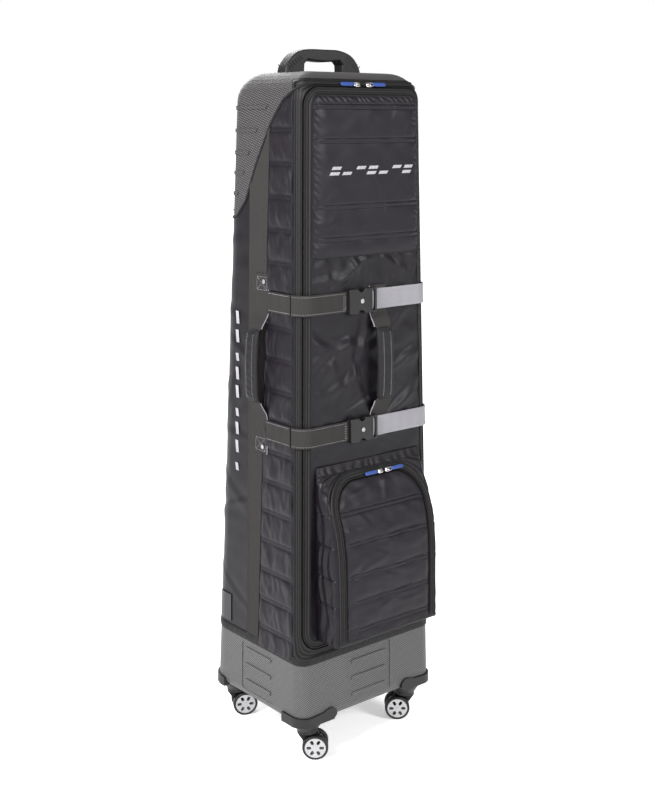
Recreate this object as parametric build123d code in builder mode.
from build123d import *
from math import asin, atan2, cos, radians, sin, sqrt
import os

os.makedirs("parts", exist_ok=True)

# ---- driving dimensions, mm ------------------------------------------------
# Z is up from the floor, X is across, -Y is the front with the lid and pocket.
CASE_Y = 26.5            # case centre line, set back so the pocket is inside the centred box
LOW_Z = 78.0             # taper is measured between these two heights
HIGH_Z = 1240.0
LOW_W = 346.0
HIGH_W = 288.0
LOW_FRONT = -153.0
HIGH_FRONT = -128.0
LOW_BACK = 153.0
HIGH_BACK = 98.0
FRONT_R = 26.0           # vertical corners
BACK_R = 52.0
BASE_Z = 80.0            # underside of the hard base
TOP_Z = 1297.0           # crown of the hard top
DOME_R = 50.0
BROW_R = 45.0            # front top edge
BASE_EDGE_R = 22.0
REST_PAD = 1.0           # flat pad standing proud in the middle of the underside
HEM_Z = 212.0            # where the fabric starts
WALL = 4.0               # padded fabric wall
SHELL = 3.0

LID_LOW = 236.0
LID_TOP = 1270.0
LID_SIDE = 8.0           # lid edge in from the side of the case
LID_GAP = 0.6
LID_CORNER = 34.0
TAPE = 11.5
QUILT_LOW = 972.0        # where the padded front stops and plain fabric starts

GUSSET_BACK_LOW = (-16.0, 212.0)
GUSSET_BACK_HIGH = (-39.5, 1260.0)
STRIP_BACK = 22.0

POCKET_HALF = 129.0
POCKET_LOW = 252.0
POCKET_TOP = 590.0
POCKET_WALL = 2.5
FLAP_HALF = 106.0
FLAP_LOW = 262.0
FLAP_TOP = 556.0
FLAP_R = 58.0
POCKET_TAPE = 17.0

STRAP_W = 38.0
STRAP_T = 2.0
STRAP_OFF = 3.2          # strap inner face off the case front
UPPER_Z = 889.0
LOWER_Z = 647.0
RIVET_LEVELS = (UPPER_Z + 35, LOWER_Z - 35)
BUCKLE_L = 50.0
BUCKLE_X = -51.0
BUCKLE_H = 46.0
BUCKLE_T = 11.0
MALE_L = 17.0

HANDLE_HALF = 90.0
HANDLE_T = 28.0
HANDLE_TOP = 1340.0

GRIP_LOW = 700.0
GRIP_HIGH = 838.0
GRIP_W = 38.0
SIDE_GRIP_Y = CASE_Y - 20  # middle of the side handles
RIVET_Y = CASE_Y - 28

PIVOT_X = 130.0
PIVOT_Y = 118.0
WHEEL_R = 25.5
WHEEL_W = 13.0
WHEEL_GAP = 13.0
HUB_R = 20.5
TRAIL = 16.0
SWIVEL_Z = 60.0
CORNERS = {
    "front_left": (-1, -1, 50.4, 1),
    "front_right": (1, -1, 50.4, -1),
    "back_left": (-1, 1, 62.4, 1),
    "back_right": (1, 1, 38.0, 1),
}


# ---- the tapered case form -------------------------------------------------
def taper(z, low, high):
    return low + (high - low) * (z - LOW_Z) / (HIGH_Z - LOW_Z)


def half_w(z):
    return taper(z, LOW_W, HIGH_W) / 2


def front_y(z):
    return CASE_Y + taper(z, LOW_FRONT, HIGH_FRONT)


def back_y(z):
    return CASE_Y + taper(z, LOW_BACK, HIGH_BACK)


def edge_round(z, r):
    rise = max(0.0, z - (TOP_Z - r))
    top = r - sqrt(max(0.0, r * r - rise * rise))
    drop = max(0.0, (BASE_Z + BASE_EDGE_R) - z)
    low = BASE_EDGE_R - sqrt(max(0.0, BASE_EDGE_R**2 - min(drop, BASE_EDGE_R) ** 2))
    return top + low


def outline(z, inset=0.0, plain=False):
    side = inset + (0 if plain else edge_round(z, DOME_R))
    brow = inset + (0 if plain else edge_round(z, BROW_R))
    low = front_y(z) + brow
    high = back_y(z) - side
    with BuildSketch(Plane.XY.offset(z)) as ring:
        with Locations((0, (low + high) / 2)):
            Rectangle(2 * (half_w(z) - side), high - low)
        fillet(ring.vertices().group_by(Axis.Y)[0], max(FRONT_R - brow * 0.6, 6))
        fillet(ring.vertices().group_by(Axis.Y)[-1], max(BACK_R - side * 0.6, 8))
    return ring.sketch.face()


def form(levels, inset=0.0, mode=Mode.ADD, plain=False):
    loft([outline(z, inset, plain) for z in levels], ruled=True, mode=mode)


DOME_LEVELS = [1247, 1258, 1268, 1277, 1284, 1289.5, 1293.5, 1296, 1297]
FOOT_LEVELS = [80, 82, 86, 92, 102]

FRONT = Plane((0, front_y(0), 0), (1, 0, 0), (0, -1, (HIGH_FRONT - LOW_FRONT) / (HIGH_Z - LOW_Z)))
LEFT = Plane((-half_w(0), 0, 0), (0, -1, 0), (-1, 0, (LOW_W - HIGH_W) / 2 / (HIGH_Z - LOW_Z)))

RIGHT = Plane((half_w(0), 0, 0), (0, 1, 0), (1, 0, (LOW_W - HIGH_W) / 2 / (HIGH_Z - LOW_Z)))


def yz_cut(points, mode, x=(-250, 250), curve=None):
    """Keep or remove a region drawn in Y and Z."""
    with BuildSketch(Plane.YZ.offset(x[0])) as region:
        with BuildLine():
            if curve:
                Spline(*curve)
                Polyline(curve[-1], *points, curve[0])
            else:
                Polyline(*points, close=True)
        make_face()
    extrude(region.sketch, amount=x[1] - x[0], mode=mode)


def xz_cut(sketch, mode, y=(-300, 60)):
    """Keep or remove a region drawn in X and Z, over a span of Y."""
    extrude(sketch, amount=y[1] - y[0], dir=(0, -1, 0), mode=mode)


def keep_box(x0, x1, y0, y1, z0=0, z1=1400, mode=Mode.INTERSECT):
    with Locations(((x0 + x1) / 2, (y0 + y1) / 2, (z0 + z1) / 2)):
        Box(x1 - x0, y1 - y0, z1 - z0, mode=mode)


def lid_region(shrink, y, low=None):
    """The lid's outline in X and Z, drawn on the plane at this y."""
    low = low or LID_LOW + shrink
    top = LID_TOP - shrink
    with BuildSketch(Plane.XZ.offset(-y)) as region:
        with BuildLine():
            Polyline(
                (-(half_w(low) - LID_SIDE - shrink), low),
                (half_w(low) - LID_SIDE - shrink, low),
                (half_w(top) - LID_SIDE - shrink, top),
                (-(half_w(top) - LID_SIDE - shrink), top),
                close=True,
            )
        make_face()
        fillet(region.vertices().group_by(Axis.Y)[-1], LID_CORNER - shrink / 2)
    return region.sketch


def mirrored(part):
    with BuildPart() as other:
        mirror(part, about=Plane.YZ)
    return other.part


# ---- hard shells -----------------------------------------------------------
EDGE_CURVE = [
    (CASE_Y - 150, 1284.5),
    (CASE_Y - 122, 1276.0),
    (CASE_Y - 75, 1247.0),
    (CASE_Y - 38, 1204.0),
    (CASE_Y + 4, 1133.0),
    (CASE_Y + 34, 1068.0),
    (CASE_Y + 60, 1040.0),
    (CASE_Y + 100, 1031.0),
    (CASE_Y + 190, 1030.0),
]
PIPING_CURVE = [(y + 1.5, z + 5.5) for y, z in EDGE_CURVE]
RIB_LEVELS = [1236, 1195, 1155, 1118, 1080, 1046]

with BuildPart() as top_shell:
    form([1000] + DOME_LEVELS)
    form([1000] + [z - SHELL for z in DOME_LEVELS], inset=SHELL, mode=Mode.SUBTRACT)
    yz_cut([(CASE_Y + 190, 1400), (CASE_Y - 150, 1400)], Mode.INTERSECT, curve=EDGE_CURVE)
    with Locations((0, CASE_Y, TOP_Z - SHELL)):
        with GridLocations(2 * 71, 14, 2, 2):
            Cylinder(2.7, 12, mode=Mode.SUBTRACT)

with BuildPart() as top_ribs:
    for z in RIB_LEVELS:
        form([z - 4.5, z - 2.5], inset=-1.6)
        form([z - 2.5, z + 2.5], inset=-1.8)
    form([1000, 1247], inset=0.3, mode=Mode.SUBTRACT)
    yz_cut(
        [(CASE_Y + 190, 1400), (CASE_Y - 20, 1400)],
        Mode.INTERSECT,
        curve=[(y + 26, z + 10) for y, z in EDGE_CURVE[2:]],
    )

with BuildPart() as top_ribbed:
    add(top_shell.part)
    add(top_ribs.part)

with BuildPart() as base_shell:
    form(FOOT_LEVELS + [HEM_Z])
    form([HEM_Z - 12, HEM_Z + 26], inset=WALL + 0.3)
    form([z + 4.5 for z in FOOT_LEVELS] + [HEM_Z - 14], inset=4.8, mode=Mode.SUBTRACT)
    form([HEM_Z - 14, HEM_Z + 26], inset=7.3, mode=Mode.SUBTRACT)
    with Locations((0, CASE_Y, BASE_Z - REST_PAD)):
        Box(150, 120, REST_PAD + 2, align=(Align.CENTER, Align.CENTER, Align.MIN))
    with BuildSketch(FRONT):
        with Locations((0, 150)):
            RectangleRounded(112, 108, 6)
    extrude(amount=-1.2, mode=Mode.SUBTRACT)
    with BuildSketch(FRONT.offset(-2)):
        with Locations((0, 115), (0, 149), (0, 183)):
            SlotOverall(90, 8)
    extrude(amount=2.6)
    for face, middle in ((LEFT, 14 - CASE_Y), (RIGHT, CASE_Y - 14)):
        with BuildSketch(face):
            with Locations((middle, 150)):
                RectangleRounded(104, 100, 6)
        extrude(amount=-1.2, mode=Mode.SUBTRACT)
        with BuildSketch(face.offset(-2)):
            with Locations(*[(middle, z) for z in (119, 153, 187)]):
                SlotOverall(84, 8)
        extrude(amount=2.6)

# ---- fabric tube, cut into its sewn panels ---------------------------------
SEW_LEVELS = [HEM_Z, 1247, 1258, 1268, 1277, 1284]


def gusset_back(z):
    (y0, z0), (y1, z1) = GUSSET_BACK_LOW, GUSSET_BACK_HIGH
    return CASE_Y + y0 + (y1 - y0) * (z - z0) / (z1 - z0)


def fabric(inner=WALL):
    form(SEW_LEVELS)
    form(SEW_LEVELS, inset=inner, mode=Mode.SUBTRACT)
    yz_cut([(CASE_Y + 190, 100), (CASE_Y - 260, 100), (CASE_Y - 260, 1284.5)],
           Mode.INTERSECT, curve=EDGE_CURVE)


with BuildPart() as body_panel:
    fabric()
    yz_cut([(CASE_Y + STRIP_BACK, 150), (300, 150), (300, 1300), (CASE_Y + STRIP_BACK, 1300)], Mode.INTERSECT)

with BuildPart() as strip_left:
    fabric()
    yz_cut(
        [(gusset_back(150), 150), (CASE_Y + STRIP_BACK, 150), (CASE_Y + STRIP_BACK, 1300), (gusset_back(1300), 1300)],
        Mode.INTERSECT,
        x=(-250, 0),
    )

with BuildPart() as gusset_left:
    fabric()
    yz_cut(
        [(front_y(150) + FRONT_R, 150), (gusset_back(150), 150), (gusset_back(1300), 1300), (front_y(1300) + FRONT_R, 1300)],
        Mode.INTERSECT,
        x=(-250, 0),
    )

with BuildPart() as zip_outer_band:
    fabric()
    yz_cut(
        [(-300, 150), (front_y(150) + FRONT_R, 150), (front_y(1300) + FRONT_R, 1300), (-300, 1300)],
        Mode.INTERSECT,
    )
    xz_cut(lid_region(0, 60), Mode.SUBTRACT)

with BuildPart() as hem_band:
    form([HEM_Z - 6, HEM_Z + 12], inset=-2.0)
    form([HEM_Z - 6, HEM_Z + 12], inset=0.0, mode=Mode.SUBTRACT)

with BuildPart() as shell_piping:
    form([1000] + DOME_LEVELS[:-1], inset=-2.0)
    form([1000] + DOME_LEVELS[:-1], inset=0.0, mode=Mode.SUBTRACT)
    yz_cut([(CASE_Y + 190, 100), (CASE_Y - 260, 100), (CASE_Y - 260, 1284.5)],
           Mode.INTERSECT, curve=PIPING_CURVE)
    yz_cut([(CASE_Y + 190, 1400), (CASE_Y - 150, 1400)], Mode.INTERSECT, curve=EDGE_CURVE)

with BuildPart() as corner_guards:
    form([230, 286], inset=-2.4)
    form([230, 286], inset=0.0, mode=Mode.SUBTRACT)
    with BuildSketch(Plane.XY.offset(200)):
        with Locations((-170, CASE_Y + 93), (170, CASE_Y + 93)):
            Rectangle(120, 38)
    extrude(amount=120, mode=Mode.INTERSECT)

# ---- lid -------------------------------------------------------------------
with BuildPart() as lid_wall:
    form(SEW_LEVELS)
    xz_cut(lid_region(LID_GAP, 60), Mode.INTERSECT)
    form(SEW_LEVELS, inset=WALL, mode=Mode.SUBTRACT)

with BuildPart() as zip_inner_band:
    add(lid_wall.part)
    xz_cut(lid_region(LID_GAP + TAPE, 60, LID_LOW - 20), Mode.SUBTRACT)

with BuildPart() as lid_middle:
    add(lid_wall.part)
    xz_cut(lid_region(LID_GAP + TAPE, 60, LID_LOW - 20), Mode.INTERSECT)

with BuildPart() as front_quilt_panel:
    add(lid_middle.part)
    keep_box(-250, 250, -300, 300, QUILT_LOW, 1400)

with BuildPart() as front_plain_panel:
    add(lid_middle.part)
    keep_box(-250, 250, -300, 300, 0, QUILT_LOW)


# ---- pocket on the lid -----------------------------------------------------
POCKET_DEPTHS = [(590, 1.5), (560, 15), (530, 29), (500, 43), (470, 52), (435, 57.5), (395, 60), (252, 60)]


def pocket_profile(wall):
    """Front line of the pocket, or of the hollow inside its walls, closed behind the case front."""
    if not wall:
        points = [(front_y(z) - depth, z) for z, depth in POCKET_DEPTHS]
        return points + [(front_y(POCKET_LOW), POCKET_LOW), (front_y(POCKET_TOP), POCKET_TOP)]
    points = [(front_y(POCKET_TOP - 6) - 1.2, POCKET_TOP - 6)]
    for z, depth in POCKET_DEPTHS[1:]:
        z = max(z, POCKET_LOW + wall)
        points.append((front_y(z) - depth + wall * (1.15 if z > 420 else 1), z))
    back = front_y(POCKET_TOP) + 5
    return points + [(back, POCKET_LOW + wall), (back, POCKET_TOP - 6)]


def pocket_block(wall, mode=Mode.ADD):
    half = POCKET_HALF - wall
    yz_cut(pocket_profile(wall), mode, x=(-half, half))


def flap_region(grow, y):
    low = FLAP_LOW - min(grow, 0)
    with BuildSketch(Plane.XZ.offset(-y)) as region:
        with BuildLine():
            Polyline(
                (-FLAP_HALF - grow, low),
                (FLAP_HALF + grow, low),
                (FLAP_HALF + grow, FLAP_TOP + grow),
                (-FLAP_HALF - grow, FLAP_TOP + grow),
                close=True,
            )
        make_face()
        fillet(region.vertices().group_by(Axis.Y)[-1], FLAP_R + grow)
    return region.sketch


with BuildPart() as pocket_wall:
    pocket_block(0)
    pocket_block(POCKET_WALL, Mode.SUBTRACT)

with BuildPart() as pocket_flap:
    add(pocket_wall.part)
    xz_cut(flap_region(-LID_GAP, 60), Mode.INTERSECT)

with BuildPart() as pocket_zip_band:
    add(pocket_wall.part)
    xz_cut(flap_region(POCKET_TAPE, 60), Mode.INTERSECT)
    xz_cut(flap_region(0, 61), Mode.SUBTRACT, (-301, 61))

with BuildPart() as pocket_gusset:
    add(pocket_wall.part)
    xz_cut(flap_region(POCKET_TAPE, 60), Mode.SUBTRACT)


# ---- webbing handles: a strip sewn at both ends, with a padded wrap ---------
def ribbon(path, low, high):
    """Closed outline of a strip between two offsets from a path of (offset, z)."""
    return [(o + low, z) for o, z in path] + [(o + high, z) for o, z in reversed(path)]


def bow(rise, low=621, high=915):
    return [(0, low), (0, 674), (0.55 * rise, 693), (0.9 * rise, 715), (rise, 769),
            (0.9 * rise, 823), (0.55 * rise, 845), (0, 862), (0, high)]


def handle_strip(plane, x, width, path, low, high, z_low=None, z_high=None):
    with BuildSketch(plane.offset(x)) as side:
        with BuildLine():
            Polyline(*ribbon(path, low, high), close=True)
        make_face()
        if z_low:
            with Locations((0, (z_low + z_high) / 2)):
                Rectangle(300, z_high - z_low, mode=Mode.INTERSECT)
    extrude(side.sketch, amount=width)


# planes whose first axis points out of the face and second one up it
FRONT_SIDE = Plane(FRONT.origin, FRONT.z_dir, (-1, 0, 0))
LEFT_SIDE = Plane(LEFT.origin, LEFT.z_dir, (0, 1, 0))

with BuildPart() as front_handle_grip:
    handle_strip(FRONT_SIDE, -46, GRIP_W, bow(22), -6, 8, GRIP_LOW, GRIP_HIGH)
    fillet(front_handle_grip.edges().filter_by(lambda e: e.length > 20 and abs(e.tangent_at(0.5).Z) > 0.7), 3)

with BuildPart() as front_handle_webbing:
    handle_strip(FRONT_SIDE, -48, 42, bow(22), 0.3, 2.5)
    for x in (6, 48):
        with Locations((x, 0, (GRIP_LOW + GRIP_HIGH) / 2)):
            Box(12, 500, GRIP_HIGH - GRIP_LOW + 2, mode=Mode.SUBTRACT)

with BuildPart() as front_grip:
    add(front_handle_grip.part)
    add(front_handle_webbing.part, mode=Mode.SUBTRACT)

with BuildPart() as left_grip_blank:
    handle_strip(LEFT_SIDE, SIDE_GRIP_Y - 19, GRIP_W, bow(24), -6, 8, GRIP_LOW, GRIP_HIGH)
    fillet(left_grip_blank.edges().filter_by(lambda e: e.length > 20 and abs(e.tangent_at(0.5).Z) > 0.7), 3)

with BuildPart() as side_webbing_left:
    handle_strip(LEFT_SIDE, SIDE_GRIP_Y - 20, 40, bow(24, 598, 938), 0.3, 2.5)
    for y in (-20, 20):
        with Locations((-180, SIDE_GRIP_Y + y, (GRIP_LOW + GRIP_HIGH) / 2)):
            Box(100, 10, GRIP_HIGH - GRIP_LOW + 2, mode=Mode.SUBTRACT)
    for z in RIVET_LEVELS:
        with Locations((-half_w(z), RIVET_Y, z)):
            Cylinder(1.7, 40, rotation=(0, 90, 0), mode=Mode.SUBTRACT)

with BuildPart() as side_grip_left:
    add(left_grip_blank.part)
    add(side_webbing_left.part, mode=Mode.SUBTRACT)

# ---- compression straps ----------------------------------------------------
STRAP_LEVELS = (UPPER_Z, LOWER_Z)
CORNER_GAP = 2.0


def strap_ring(z):
    form([z - STRAP_W / 2, z + STRAP_W / 2], inset=-(STRAP_OFF + STRAP_T), plain=True)
    form([z - STRAP_W / 2, z + STRAP_W / 2], inset=-STRAP_OFF, mode=Mode.SUBTRACT, plain=True)


with BuildPart() as side_straps_left:
    for z in STRAP_LEVELS:
        strap_ring(z)
    yz_cut(
        [(front_y(150) + FRONT_R + CORNER_GAP, 150), (SIDE_GRIP_Y - 21, 150), (SIDE_GRIP_Y - 21, 1300),
         (front_y(1300) + FRONT_R + CORNER_GAP, 1300)],
        Mode.INTERSECT,
        x=(-250, 0),
    )

strap_left = {}
strap_right = {}
female = {}
male = {}
MALE_END = BUCKLE_X + BUCKLE_L + 1 + MALE_L
for level, z in zip(("upper", "lower"), STRAP_LEVELS):
    face_y = front_y(z) - STRAP_OFF - STRAP_T / 2
    seat = Plane((0, face_y, z), (1, 0, 0), FRONT.z_dir)
    with BuildPart() as web:
        strap_ring(z)
        keep_box(-250, BUCKLE_X + 3, -300, front_y(z) + FRONT_R - 1)
    strap_left[level] = web.part
    with BuildPart() as web:
        strap_ring(z)
        keep_box(MALE_END - 3, 250, -300, front_y(z) + FRONT_R - 1)
    strap_right[level] = web.part
    with BuildPart() as socket:
        with BuildSketch(seat.offset(-1.6)):
            with Locations((BUCKLE_X + BUCKLE_L / 2, 0)):
                RectangleRounded(BUCKLE_L, BUCKLE_H, 4)
                with Locations((4, BUCKLE_H / 2 + 3), (4, -BUCKLE_H / 2 - 3)):
                    Circle(9, mode=Mode.SUBTRACT)
        extrude(amount=BUCKLE_T)
        fillet(socket.faces().sort_by(Axis.Y)[0].edges(), 1.5)
        with BuildSketch(seat.offset(0.2)):
            with Locations((BUCKLE_X + BUCKLE_L - 16, 0)):
                Rectangle(33, 36)
        extrude(amount=6.2, mode=Mode.SUBTRACT)
        with BuildSketch(seat.offset(-1.3)):
            with Locations((BUCKLE_X + 1.5, 0)):
                Rectangle(4, STRAP_W + 1)
        extrude(amount=2.6, mode=Mode.SUBTRACT)
    female[level] = socket.part
    with BuildPart() as plug:
        with BuildSketch(seat.offset(-1.6)):
            with Locations((MALE_END - MALE_L / 2, 0)):
                RectangleRounded(MALE_L, BUCKLE_H, 2)
                Rectangle(5.5, 39, mode=Mode.SUBTRACT)
        extrude(amount=9.0)
        fillet(plug.faces().sort_by(Axis.Y)[0].outer_wire().edges(), 1.2)
        with BuildSketch(seat.offset(0.9)):
            with Locations((MALE_END - MALE_L - 13, 12), (MALE_END - MALE_L - 13, -12)):
                Rectangle(30, 6.5)
            with Locations((MALE_END - MALE_L - 11, 0)):
                Rectangle(26, 7)
        extrude(amount=4.8)
        with BuildSketch(seat.offset(-1.3)):
            with Locations((MALE_END - 1.5, 0)):
                Rectangle(4, STRAP_W + 1)
        extrude(amount=2.6, mode=Mode.SUBTRACT)
    male[level] = plug.part

with BuildPart() as strap_rivets:
    for z in RIVET_LEVELS:
        for side in (-1, 1):
            out = half_w(z) + 2.5 + 0.15
            with Locations(Location((side * (out - 2.2), RIVET_Y, z), (0, 90 * side, 0))):
                Cylinder(1.6, 2.2, align=(Align.CENTER, Align.CENTER, Align.MIN))
            with Locations(Location((side * out, RIVET_Y, z), (0, 90 * side, 0))):
                Cylinder(4.2, 1.4, align=(Align.CENTER, Align.CENTER, Align.MIN))

# ---- zip sliders -----------------------------------------------------------
MAIN_SLIDERS = {"main_slider_left": (-16, -1), "main_slider_right": (11, 1)}
POCKET_SLIDERS = {"pocket_slider_left": (16, -1), "pocket_slider_right": (34, 1)}
sliders = {}


def slider(seat, way):
    """Slider body, eye and pull tab, lying along the zip away from its twin."""
    with BuildPart() as piece:
        with BuildSketch(seat):
            RectangleRounded(13, 9, 2.5)
        extrude(amount=3.2)
        fillet(piece.faces().sort_by(Axis.Y)[0].edges(), 0.8)
        with BuildSketch(seat.offset(2.2)):
            with Locations((way * 10, 0)):
                SlotOverall(16, 7)
                SlotOverall(10, 3, mode=Mode.SUBTRACT)
        extrude(amount=2)
        with BuildSketch(seat.offset(1.6)):
            with Locations((way * 30, 0)):
                RectangleRounded(28, 7, 2)
        extrude(amount=3.4)
    return piece.part


MAIN_Z = LID_TOP + 8.5
lean = asin((MAIN_Z - TOP_Z + BROW_R) / BROW_R)
for name, (x, way) in MAIN_SLIDERS.items():
    y = front_y(MAIN_Z) + edge_round(MAIN_Z, BROW_R) - 2 * cos(lean)
    z = MAIN_Z + 2 * sin(lean)
    sliders[name] = slider(Plane((x, y, z), (1, 0, 0), (0, -cos(lean), sin(lean))), way)
tilt = atan2(14, 30)
for name, (x, way) in POCKET_SLIDERS.items():
    z = FLAP_TOP + 7.5
    y = front_y(z) - 14.6 - 1.2
    sliders[name] = slider(Plane((x, y, z), (1, 0, 0), (0, -cos(tilt), sin(tilt))), way)

# ---- moulded top handle with its plate and screws --------------------------
with BuildPart() as top_handle:
    with BuildSketch(Plane.XZ.offset(-(CASE_Y + HANDLE_T / 2))):
        with BuildLine():
            Line((-HANDLE_HALF, TOP_Z), (HANDLE_HALF, TOP_Z))
            Spline(
                (HANDLE_HALF, TOP_Z), (HANDLE_HALF - 6, TOP_Z + 16), (HANDLE_HALF - 24, HANDLE_TOP - 9),
                (HANDLE_HALF - 50, HANDLE_TOP - 1), (0, HANDLE_TOP),
                tangents=((-0.1, 1), (-1, 0)),
            )
            Spline(
                (0, HANDLE_TOP), (-HANDLE_HALF + 50, HANDLE_TOP - 1), (-HANDLE_HALF + 24, HANDLE_TOP - 9),
                (-HANDLE_HALF + 6, TOP_Z + 16), (-HANDLE_HALF, TOP_Z),
                tangents=((-1, 0), (-0.1, -1)),
            )
        make_face()
        with BuildLine():
            Polyline((-46, TOP_Z - 1), (46, TOP_Z - 1), (45, TOP_Z + 16), (38, TOP_Z + 23))
            Spline((38, TOP_Z + 23), (0, TOP_Z + 20.5), (-38, TOP_Z + 23), tangents=((-1, -0.1), (-1, 0.1)))
            Polyline((-38, TOP_Z + 23), (-45, TOP_Z + 16), (-46, TOP_Z - 1))
        make_face(mode=Mode.SUBTRACT)
    extrude(amount=HANDLE_T)
    fillet(top_handle.edges().filter_by(lambda e: e.center().Z > TOP_Z + 3 and abs(e.tangent_at(0.5).Y) < 0.5), 4)
    with Locations((0, CASE_Y, TOP_Z)):
        with GridLocations(2 * 71, 14, 2, 2):
            Cylinder(2.0, 16, mode=Mode.SUBTRACT)

with BuildPart() as handle_plate:
    with Locations((0, CASE_Y, TOP_Z - SHELL - 1.5)):
        Box(170, 30, 3)
        with GridLocations(2 * 71, 14, 2, 2):
            Cylinder(2.7, 6, mode=Mode.SUBTRACT)

with BuildPart() as handle_screws:
    with Locations((0, CASE_Y, TOP_Z - SHELL - 3 - 2.6)):
        with GridLocations(2 * 71, 14, 2, 2):
            Cylinder(4.2, 2.6, align=(Align.CENTER, Align.CENTER, Align.MIN))
            Cylinder(1.9, 13, align=(Align.CENTER, Align.CENTER, Align.MIN))

with BuildPart() as crown_pad:
    with Locations((0, CASE_Y - 10, TOP_Z - SHELL - 3 - 2.6 - 0.4)):
        Box(150, 120, 10, align=(Align.CENTER, Align.CENTER, Align.MAX))
    fillet(crown_pad.edges().filter_by(Axis.Z), 30)

# ---- casters ---------------------------------------------------------------
with BuildPart() as base_block:
    form(FOOT_LEVELS + [HEM_Z])


def caster_housing(sx, sy):
    px = sx * PIVOT_X
    py = CASE_Y + sy * PIVOT_Y
    with BuildPart() as housing:
        form([81, 108], inset=-3.5, plain=True)
        with BuildSketch(Plane.XZ.offset(-300)):
            with BuildLine():
                Polyline(
                    (sx * 200, 60), (sx * 200, 101), (sx * 150, 99), (sx * 120, 101), (sx * 104, 106),
                    (sx * 94, 106), (sx * 87, 100), (sx * 85, 90), (sx * 92, 82), (sx * 92, 60),
                    close=True,
                )
            make_face()
        extrude(amount=600, mode=Mode.INTERSECT)
        keep_box(-250, 250, min(py - sy * 22, py + sy * 90), max(py - sy * 22, py + sy * 90))
        with Locations((px, py, SWIVEL_Z)):
            Cone(21, 37, 27, align=(Align.CENTER, Align.CENTER, Align.MIN))
        add(base_block.part, mode=Mode.SUBTRACT)
        with Locations((px, py, SWIVEL_Z)):
            Cylinder(5.05, 16, align=(Align.CENTER, Align.CENTER, Align.MIN), mode=Mode.SUBTRACT)
    return housing.part


def swivel_frame(sx, sy, axle, way):
    """Plane on the floor under the pivot, its X along the way the wheels trail."""
    heading = radians(axle - 90)
    return Plane(
        (sx * PIVOT_X, CASE_Y + sy * PIVOT_Y, 0),
        (way * cos(heading), way * sin(heading), 0),
        (0, 0, 1),
    )


def axle_plane(base, off=0.0):
    """Upright plane through the axle centre, facing along the axle."""
    centre = base.origin + base.x_dir * TRAIL + Vector(0, 0, WHEEL_R) + base.y_dir * off
    return Plane(centre, base.x_dir, base.y_dir)


def fork(base):
    side = Plane(base.origin + base.y_dir * (WHEEL_GAP / 2 - 0.8), base.x_dir, base.x_dir.cross(base.z_dir))
    up = side.y_dir.Z
    profile = [
        (-19, SWIVEL_Z - 1), (19, SWIVEL_Z - 1), (TRAIL + 11, WHEEL_R + 12), (TRAIL + 9, WHEEL_R - 4),
        (TRAIL + 2, WHEEL_R - 9), (TRAIL - 8, WHEEL_R - 4), (-10, WHEEL_R + 12), (-19, SWIVEL_Z - 9),
    ]
    with BuildPart() as piece:
        with BuildSketch(side) as cheek:
            with BuildLine():
                Polyline(*[(x, up * z) for x, z in profile], close=True)
            make_face()
            fillet(cheek.vertices(), 2.5)
        extrude(amount=WHEEL_GAP - 1.6, dir=-base.y_dir)
        with BuildSketch(base.offset(SWIVEL_Z - 7)):
            Circle(19.5)
        extrude(amount=6.4)
        with BuildSketch(base.offset(SWIVEL_Z - 2)):
            Circle(5.0)
        extrude(amount=17)
        with BuildSketch(axle_plane(base, -WHEEL_GAP)):
            Circle(3.05)
        extrude(amount=WHEEL_GAP * 2, mode=Mode.SUBTRACT)
    return piece.part


def tyres(base):
    with BuildPart() as pair:
        for way in (-1, 1):
            off = WHEEL_GAP / 2 if way > 0 else -WHEEL_GAP / 2 - WHEEL_W
            with BuildSketch(axle_plane(base, off)):
                Circle(WHEEL_R)
            extrude(amount=WHEEL_W)
        fillet(pair.edges().filter_by(GeomType.CIRCLE), 3)
        for way in (-1, 1):
            off = WHEEL_GAP / 2 if way > 0 else -WHEEL_GAP / 2 - WHEEL_W
            with BuildSketch(axle_plane(base, off - 1)):
                Circle(HUB_R)
            extrude(amount=WHEEL_W + 2, mode=Mode.SUBTRACT)
    return pair.part


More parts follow.
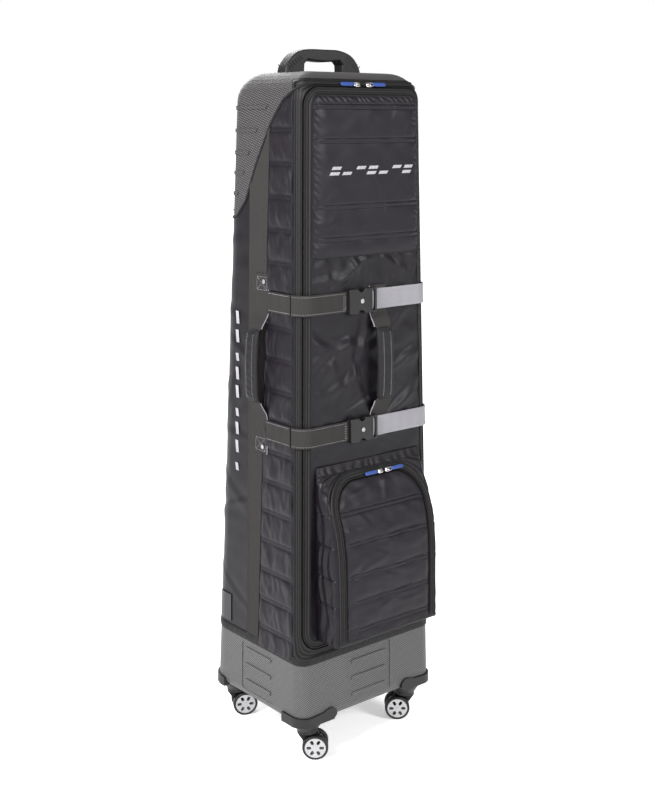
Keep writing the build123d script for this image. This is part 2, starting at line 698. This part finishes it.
def hubs(base):
    with BuildPart() as pair:
        for off in (WHEEL_GAP / 2 + 0.6, -WHEEL_GAP / 2 - WHEEL_W + 0.6):
            with BuildSketch(axle_plane(base, off)):
                Circle(HUB_R)
                with PolarLocations(12.4, 6):
                    SlotOverall(9.5, 6.2, mode=Mode.SUBTRACT)
            extrude(amount=WHEEL_W - 1.2)
        with BuildSketch(axle_plane(base, -WHEEL_GAP / 2 - WHEEL_W)):
            Circle(3.0)
        extrude(amount=WHEEL_GAP + 2 * WHEEL_W)
    return pair.part


# ---- write one file per part ------------------------------------------------
pieces = {
    "base_shell": base_shell.part,
    "top_shell": top_ribbed.part,
    "shell_piping": shell_piping.part,
    "body_panel": body_panel.part,
    "webbing_strip_left": strip_left.part,
    "webbing_strip_right": mirrored(strip_left.part),
    "quilted_gusset_left": gusset_left.part,
    "quilted_gusset_right": mirrored(gusset_left.part),
    "zip_outer_band": zip_outer_band.part,
    "hem_band": hem_band.part,
    "corner_guards": corner_guards.part,
    "front_quilt_panel": front_quilt_panel.part,
    "front_plain_panel": front_plain_panel.part,
    "zip_inner_band": zip_inner_band.part,
    "front_handle_webbing": front_handle_webbing.part,
    "front_handle_grip": front_grip.part,
    "pocket_gusset": pocket_gusset.part,
    "pocket_zip_band": pocket_zip_band.part,
    "pocket_flap": pocket_flap.part,
    "side_handle_webbing_left": side_webbing_left.part,
    "side_handle_webbing_right": mirrored(side_webbing_left.part),
    "side_handle_grip_left": side_grip_left.part,
    "side_handle_grip_right": mirrored(side_grip_left.part),
    "side_straps_left": side_straps_left.part,
    "side_straps_right": mirrored(side_straps_left.part),
    "strap_rivets": strap_rivets.part,
    "top_handle": top_handle.part,
    "handle_plate": handle_plate.part,
    "handle_screws": handle_screws.part,
    "crown_pad": crown_pad.part,
}
for level in ("upper", "lower"):
    pieces["strap_" + level + "_left"] = strap_left[level]
    pieces["strap_" + level + "_right"] = strap_right[level]
    pieces["buckle_socket_" + level] = female[level]
    pieces["buckle_plug_" + level] = male[level]
pieces.update(sliders)
for corner, (sx, sy, axle, way) in CORNERS.items():
    base = swivel_frame(sx, sy, axle, way)
    pieces["caster_housing_" + corner] = caster_housing(sx, sy)
    pieces["caster_fork_" + corner] = fork(base)
    pieces["tyres_" + corner] = tyres(base)
    pieces["hubs_" + corner] = hubs(base)

for name, piece in pieces.items():
    piece.label = name
    export_step(piece, "parts/" + name + ".step")
